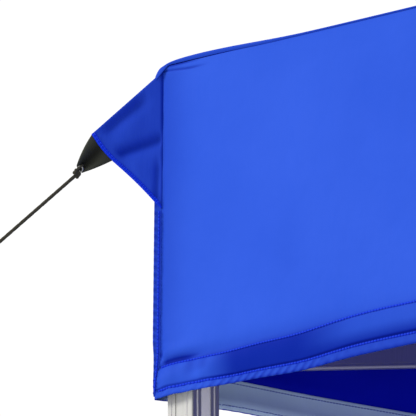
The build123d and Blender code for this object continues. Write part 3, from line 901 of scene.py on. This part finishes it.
def make_roof():
    """The roof: one curved sheet from the peak to its rolled edges."""
    axis = roof_grid()
    x, y = np.meshgrid(axis, axis)
    size = len(axis)
    points = np.stack([x, y, roof_height(x, y)], -1).reshape(-1, 3)
    faces = []
    index = np.arange(size * size).reshape(size, size)
    middle = size // 2  # quads on the hips are split along them
    for i in range(size - 1):
        for j in range(size - 1):
            quad = [index[i, j], index[i, j + 1], index[i + 1, j + 1], index[i + 1, j]]
            same = (i < middle) == (j < middle)
            if abs(i - j) < 1 or abs(i + j - size + 2) < 1:
                a, b, c, d = quad
                faces += [[a, b, c], [a, c, d]] if same else [[a, b, d], [b, c, d]]
            else:
                faces.append(quad)
    ring = list(index[0, :-1]) + list(index[:-1, -1]) + list(index[-1, :0:-1]) + list(index[:0:-1, 0])
    edge = points[ring]
    d = EAVE_HALF - np.minimum(np.abs(edge[:, 0]), np.abs(edge[:, 1]))
    outward = np.where(np.abs(edge[:, :2]) > EAVE_HALF - 1e-6, np.sign(edge[:, :2]), 0.0)
    turning = fall(0.0, 0.012, d)[:, None] * np.sign(edge[:, :2])
    outward = np.where(outward != 0, outward, turning)
    rows = [edge]
    for r in (0.1, 0.2, 0.35, 0.5, 0.65, 0.8, 0.9, 1.0):
        out, z = rim_point(d, r)
        rows.append(np.stack([edge[:, 0] + out * outward[:, 0], edge[:, 1] + out * outward[:, 1], z], -1))
    count = len(points)
    strip = grid_faces(len(rows), len(ring), closed=True)
    above = len(ring)
    for quad in strip:
        faces.append([ring[v] if v < above else count + v - above for v in quad][::-1])
    points = np.concatenate([points, *rows[1:]])
    # The rolled edge is drawn darker than the roof, most along the eave line: double cloth with painted
    # shade.
    layers = np.concatenate([np.zeros(count), np.full((len(rows) - 1) * above, 0.36)])
    layers[ring] = 0.5
    roof = folding_piece(
        "canopy_roof", points, faces, [canopy_fabric, canopy_reverse], cloth=points, layers=layers,
        thick=CLOTH,
    )
    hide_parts("canopy")
    return roof


def make_roof_seams():
    """The hip seams with their stitching, and the round patch on the peak."""
    along = np.linspace(0.075, EAVE_HALF - 0.030, 150)
    across = np.array([-0.0085, -0.0078, -0.0035, 0.0, 0.0035, 0.0078, 0.0085])
    lift = np.array([0.0001, 0.0009, 0.0010, 0.0013, 0.0010, 0.0009, 0.0001])

    def on_hip(reach, off, raised):
        x, y = -reach + off * ROOT_HALF, -reach - off * ROOT_HALF
        return np.stack([x, y, roof_height(x, y, raised)], -1)

    a, c = np.meshgrid(along, across, indexing="ij")
    strip = on_hip(a, c, lift * (0.15 + 0.85 * fall(EAVE_HALF - 0.30, EAVE_HALF - 0.10, a)))
    run = thread_run(np.arange(0.08, EAVE_HALF - 0.20, HIP_PITCH), HIP_PITCH)
    sewn, faces = joined(
        [stitches(*(on_hip(u, off, 0.0010) for u in run), (0, 0, 1), HIP_THREAD) for off in (-0.0058, 0.0058)]
    )
    made = []
    for k, corner in enumerate(CORNERS):
        made.append(folding_piece(
            f"{corner}_hip_seam", turned(strip, k), grid_faces(*a.shape)[:, ::-1], [canopy_fabric],
            cloth=np.stack([a, c, 0 * a], -1), layers=np.full(a.shape, 0.5),
        ))
        made.append(folding_piece(f"{corner}_hip_stitching", turned(sewn, k), faces, [blue_thread]))
    radii = np.array([0.0, 0.02, 0.04, 0.06, 0.075, 0.0885, 0.0895])
    raised = np.array([0.0011, 0.0011, 0.0011, 0.0011, 0.0011, 0.0010, 0.0001])
    angle = 2 * math.pi * np.arange(72) / 72
    r, t = np.meshgrid(radii, angle, indexing="ij")
    x, y = r * np.cos(t), r * np.sin(t)
    points = np.stack([x, y, roof_height(x, y, np.broadcast_to(raised[:, None], x.shape))], -1)
    faces = grid_faces(*x.shape, closed=True)
    made.append(folding_piece("peak_patch", points, faces, [canopy_fabric], layers=np.full(x.shape, 0.6)))
    return made


def make_canopy():
    roof = make_roof()
    seams = make_roof_seams()
    make_valances()


make_canopy()


# corner ears


def ear_edge(t):
    """The ear's sewn outer edge from its tip to its foot, bending at the knee."""
    t = np.asarray(t, float)
    knee = 0.28
    first, second = np.clip(t / knee, 0, 1), np.clip((t - knee) / (1 - knee), 0, 1)
    points = []
    for i in (0, 1):
        upper = lerp(EAR_TIP[i], EAR_KNEE[i], first)
        lower = lerp(EAR_KNEE[i], EAR_FOOT[i], second)
        points.append(np.where(t < knee, upper, lower))
    bow = 0.0011 * np.sin(math.pi * first) * (t < knee) - 0.0012 * np.sin(math.pi * second) * (t >= knee)
    return points[0] + 0.7 * bow, points[1] - 0.7 * bow


def ear_fold(s, z):
    """Soft folds pulling from the corner towards the tab, as a relief and as how deep they lie in shade."""
    def valley(start, end, width):
        run = np.array(end) - np.array(start)
        length = np.linalg.norm(run)
        run = run / length
        t = (s - start[0]) * run[0] + (z - start[1]) * run[1]
        off = (s - start[0]) * -run[1] + (z - start[1]) * run[0]
        return bell(off, 0, width) * step(-0.012, 0.004, t) * fall(length - 0.004, length + 0.014, t)

    upper = valley((0.018, 2.0700), (0.046, 2.0470), 0.0070)
    middle = valley((0.000, 2.0365), (0.036, 2.0235), 0.0050)
    foot = valley((0.003, 2.012), (0.004, 1.986), 0.0030)
    relief = -0.0030 * upper - 0.0028 * middle - 0.0018 * foot
    relief = relief + 0.0016 * bell(np.hypot(s - 0.026, z - 2.044), 0, 0.012)
    relief = relief + 0.0012 * bell(np.hypot(s - 0.022, z - 2.012), 0, 0.010)
    return relief, np.maximum.reduce([0.42 * upper, 0.62 * middle, 0.45 * foot])


def ear_surface(b, t, lift=0.0):
    """A point of the ear: b from the seam to the sewn edge, t from the upper edge down."""
    s_edge, z_edge = ear_edge(t)
    s = lerp(lerp(EAR_TOP[0], EAR_FOOT[0], t), s_edge, b)
    z = lerp(lerp(EAR_TOP[1], EAR_FOOT[1], t), z_edge, b)
    relief = ear_fold(s, z)[0] * step(0.0, 0.10, b) * fall(0.80, 0.97, b) * step(0.0, 0.08, t)
    return s, z, relief + lift


def ear_shade(b, t):
    """Painted shade on the ear: in its creases, along its seam and upper edge, and over its upper part."""
    s, z, _ = ear_surface(b, t)
    folds = ear_fold(s, z)[1] * fall(0.86, 0.97, b)
    seam = 0.8 * bell(s, EAR_FOOT[0], 0.0014)
    top = 0.35 * fall(0.0, 0.06, t) * b
    return np.clip(np.maximum.reduce([folds, seam, top]) + 0.20 * fall(0.25, 0.55, t), 0, 1)


def tab_surface(b, t):
    """A point of the tab: b from the ear's edge to the eyelet, t across it."""
    s0, z0 = ear_edge(0.27 * t)
    s1 = lerp(TAB_END[0] + 0.0022, TAB_END[0] - 0.0030, t)
    z1 = lerp(TAB_END[1] + 0.0038, TAB_END[1] - 0.0026, t)
    mid_s = lerp(0.0672, 0.0560, t)
    mid_z = lerp(2.0282, 2.0100, t)
    s = (1 - b) ** 2 * s0 + 2 * b * (1 - b) * mid_s + b**2 * s1
    z = (1 - b) ** 2 * z0 + 2 * b * (1 - b) * mid_z + b**2 * z1
    gather = 0.0030 * np.sin(math.pi * b * 0.62) * np.cos(2 * math.pi * (t * 1.15 - 0.12))
    return s, z, gather


def diagonal_side(face):
    """The direction off the diagonal plane, towards the front with 1 or the side with -1."""
    return diagonal(0, 0, face) - diagonal(0, 0, 0)


def edge_run():
    """Shares along the ear's sewn edge, the edge there, and the directions out of the ear."""
    run = np.linspace(0.0, 0.985, 90)
    s, z = ear_edge(run)
    outward = np.stack([np.gradient(z), -np.gradient(s)], -1)
    outward /= -np.linalg.norm(outward, axis=1)[:, None]
    return run, s, z, outward


def ear_tape():
    """The tape folded over the ear's sewn edge, narrower at its foot."""
    run, s, z, outward = edge_run()
    fade = 1 - 0.6 * step(0.9, 0.985, run)
    half = [(-0.0027, 0.0006), (-0.0023, 0.0013), (-0.0012, 0.00145), (0.0, 0.0014), (0.0006, 0.0009)]
    across, lift = np.array([*half, (0.0008, 0.0), *((a, -b) for a, b in half[::-1])]).T
    off = across * fade[:, None]
    out, up = s[:, None] + outward[:, :1] * off, z[:, None] + outward[:, 1:] * off
    return diagonal(out, up, lift + 0 * run[:, None]), grid_faces(*off.shape)


def ear_stitches():
    """Two rows of stitching along the tape, on both faces."""
    run, _, _, outward = edge_run()
    at = np.arange(0.01, 0.93, 0.028)
    sewn = []
    for face in (1, -1):
        for inset, radius in ((0.0018, 0.00050), (0.0004, 0.0004)):
            ends = []
            for u in (at, at + 0.023):
                s, z = ear_edge(u)
                out = np.stack([np.interp(u, run, outward[:, i]) for i in (0, 1)], -1)
                ends.append(diagonal(s - inset * out[:, 0], z - inset * out[:, 1], face * 0.00135))
            sewn.append(stitches(*ends, diagonal_side(face), radius))
    return joined(sewn)


def seam_fin():
    """The corner seam's allowance below the ear: its points, its shade, and its stitches."""
    z = np.linspace(HEM_Z - 0.0012, EAR_FOOT[1] + 0.0105, 120)
    wide = lerp(0.0014, 0.0062, step(1.806, 1.862, z))[:, None]
    share = np.linspace(0, 1, 7)[None]
    h = z - HEM_Z
    root_s = ((valance_half(h) + corner_flare(0.0, h)) - CORNER) * math.sqrt(2)
    s = root_s[:, None] - 0.0016 + (wide + 0.0016) * share
    settled = fall(EAR_FOOT[1] - 0.004, EAR_FOOT[1] + 0.002, z)
    pucker = ((0.00075 * wave(z, 0.0067, 0.4) + 0.0003 * wave(z, 0.0167, 1.0)) * settled)[:, None]
    low_end = 0.0030 * share * fall(HEM_Z, HEM_Z + 0.02, z)[:, None]
    fin = diagonal(s, z[:, None] + low_end, pucker * share**0.8 + 0.00040)
    # Painted shade on the fin: dark along its root, darker over its outer part, and in bands along its
    # puckers.
    shade = np.maximum(1.1 * bell(share, 0.0, 0.12), 0.40 * step(0.6, 0.8, share))
    shade = shade + 0.25 * wave(z, 0.0067, 0.4)[:, None] * share
    at = np.arange(5, len(z) - 9, 2)
    line = diagonal(root_s + 0.30 * wide[:, 0], z, 0.35 * pucker[:, 0] + 0.0006)
    return fin, shade, stitches(line[at], line[at + 2], diagonal_side(1), 0.00080)


def make_ears():
    """Each corner's ear with its edge tape, stitching, tab and eyelet, and the seam fin below it."""
    b, t = np.meshgrid(np.linspace(0, 1, 49), np.linspace(0, 1, 57))
    tab_b, tab_t = np.meshgrid(np.linspace(0.0, 1, 25), np.linspace(0, 1, 25))
    # Painted shade on the tab: its fold down the middle, its lower side, and the gathers at the eyelet.
    tab_shade = 0.10 + 0.72 * bell(tab_t, 0.46, 0.27) + 0.30 * step(0.6, 1.0, tab_t)
    tab_shade = tab_shade + 0.35 * bell(tab_b, 1.0, 0.22) * (0.5 + 0.5 * wave(tab_t, 0.31, 0.5))
    fin, fin_shade, fin_stitches = seam_fin()
    turn = 2 * math.pi * np.arange(36) / 36
    ring = EYELET_MIDDLE[0] + EYELET_RADIUS * np.cos(turn), EYELET_MIDDLE[1] + EYELET_RADIUS * np.sin(turn)
    eyelet = diagonal(*ring, 0.0014)
    shapes = {
        "ear": (diagonal(*ear_surface(b, t, EAR_THICK / 2)), grid_faces(*b.shape), shaded_ear_fabric, EAR_THICK),
        "ear_tape": (*ear_tape(), tape_fabric, 0.0),
        "ear_stitching": (*ear_stitches(), blue_thread, 0.0),
        "ear_tab": (diagonal(*tab_surface(tab_b, tab_t)), grid_faces(*tab_b.shape), tab_fabric, 0.0011),
        "seam_fin": (fin, grid_faces(*fin.shape[:2])[:, ::-1], shaded_ear_fabric, 0.0011),
        "fin_stitching": (*fin_stitches, blue_thread, 0.0),
    }
    shades = {"ear": ear_shade(b, t), "seam_fin": fin_shade, "ear_tab": tab_shade}
    for k, corner in enumerate(CORNERS):
        made = {}
        for name, (points, faces, material, thick) in shapes.items():
            made[name] = piece(
                f"{corner}_{name}", turned(points, k), faces, [material], cloth=points,
                layers=shades.get(name), thick=thick,
            )
        made["eyelet"] = tube(
            f"{corner}_eyelet", turned(eyelet, k), EYELET_WIRE, eyelet_metal, sides=10, closed=True,
        )
        for p in made.values():
            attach(p, f"{corner}_outer_leg")


make_ears()


# the frame's finishes


RIVET_RADIUS = 0.0056
RIVET_HALF = 0.022


def pivots():
    """Every pivot of the frame as its place and axis, with the open ends' pivots by symmetry."""
    found = []
    for joint in frame["joints"]:
        if joint["type"] == "hinge":
            place, axis = np.array([joint["pos_m"], joint["axis"]], float)
            found += [(turned(place, k), turned(axis, k)) for k in range(4)]
    return found


def finish_frame():
    """Every CAD part's material, with steel on the rivets' faces."""
    axes = pivots()
    for part in frame["record"]["subparts"]:
        if part["material_slot"] not in finishes:
            continue
        made = frame["nodes"][part["node"]]
        mesh = made.data
        mesh.materials.clear()
        mesh.materials.append(finishes[part["material_slot"]])
        mesh.materials.append(rivet_metal)
        middles = np.zeros(len(mesh.polygons) * 3, np.float32)
        mesh.polygons.foreach_get("center", middles)
        middles = middles.reshape(-1, 3)
        index = np.zeros(len(mesh.polygons), np.int32)
        for place, axis in axes:
            off = middles - place
            along = off @ axis
            away = np.linalg.norm(off - along[:, None] * axis, axis=1)
            index[(away < RIVET_RADIUS) & (np.abs(along) < RIVET_HALF)] = 1
        mesh.polygons.foreach_set("material_index", index)
        mesh.update()


finish_frame()


# ground and light


FLOOR_RADIUS = 6.0
SKY = 0.62
SKY_SEEN = 1.05
SUN = 1.7
SUN_FROM = (-0.50, -0.70, 0.50)


def make_stage():
    """A round pale floor, a white sky and a soft sun from the front left."""
    material, tree, shader = new_material("floor")
    place = object_place(tree)
    base = blended(tree, noise(tree, place, 0.6, 4.0), (0.80, 0.80, 0.79), (0.84, 0.84, 0.83))
    feed(tree, shader, {"Base Color": base, "Roughness": 0.9})
    angle = 2 * math.pi * np.arange(96) / 96
    disc = np.stack([FLOOR_RADIUS * np.cos(angle), FLOOR_RADIUS * np.sin(angle), 0 * angle], -1)
    floor = piece("floor", disc, [list(range(96))], [material])
    world = bpy.data.worlds.new("sky")
    world.use_nodes = True
    bpy.context.scene.world = world
    tree = world.node_tree
    seen = node(tree, "ShaderNodeLightPath").outputs["Is Camera Ray"]
    strength = ranged(tree, seen, 0.0, 1.0, SKY, SKY_SEEN)
    feed(tree, tree.nodes["Background"], {"Color": (1, 1, 1, 1), "Strength": strength})
    data = bpy.data.lights.new("sun", "SUN")
    data.energy = SUN
    data.angle = math.radians(20)
    data.color = (1.0, 0.985, 0.96)
    sun = bpy.data.objects.new("sun", data)
    sun.rotation_mode = "QUATERNION"
    sun.rotation_quaternion = Vector(SUN_FROM).to_track_quat("Z", "Y")
    bpy.context.scene.collection.objects.link(sun)
    bpy.context.scene.view_settings.view_transform = "Standard"
    bpy.context.scene.view_settings.look = "None"


make_stage()
